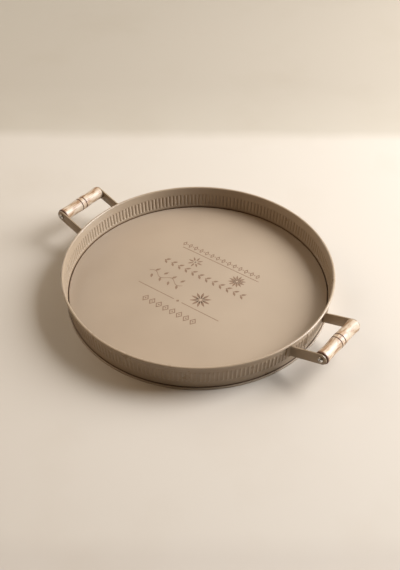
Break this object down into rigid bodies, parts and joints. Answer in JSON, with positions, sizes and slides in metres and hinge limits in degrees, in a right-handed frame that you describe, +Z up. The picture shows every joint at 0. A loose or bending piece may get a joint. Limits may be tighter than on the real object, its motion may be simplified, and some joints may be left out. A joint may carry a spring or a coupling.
{
  "type": "serving tray",
  "caption": "Round deep steel serving tray with ribbed side wall, rolled rim, raised floor, and turned wooden bar handles on flat straps.",
  "frame": {"origin": "centre of the foot ring, on the surface that the tray stands on", "axes": "+X from the left handle to the right handle, +Y from the front to the back, +Z up"},
  "size_m": [0.5004, 0.4, 0.0586],
  "materials": {
    "painted_wall": "satin taupe powder coat on steel sheet",
    "painted_floor": "satin taupe powder coat with a tone-on-tone printed ornament",
    "painted_strap": "satin taupe powder coat on flat steel bar",
    "wood": "turned, sanded and oiled pale hardwood with two burnt rings",
    "screw_steel": "bright nickel-plated steel",
    "wire_steel": "bare drawn wire, hidden in the rolled rim"
  },
  "bodies": {
    "tray": {"wall_band": "painted_wall", "floor_pan": "painted_floor", "rim_wire": "wire_steel", "left_front_strap": "painted_strap", "left_back_strap": "painted_strap", "right_front_strap": "painted_strap", "right_back_strap": "painted_strap"},
    "left_handle": {"left_grip": "wood", "left_front_screw": "screw_steel", "left_back_screw": "screw_steel"},
    "right_handle": {"right_grip": "wood", "right_front_screw": "screw_steel", "right_back_screw": "screw_steel"}
  },
  "joints": [
    {"name": "left_grip_spin", "type": "hinge", "parent": "tray", "child": "left_handle", "pos_m": [-0.24, 0, 0.0484], "axis": [0, 1, 0], "continuous": true},
    {"name": "right_grip_spin", "type": "hinge", "parent": "tray", "child": "right_handle", "pos_m": [0.24, 0, 0.0484], "axis": [0, 1, 0], "continuous": true}
  ]
}
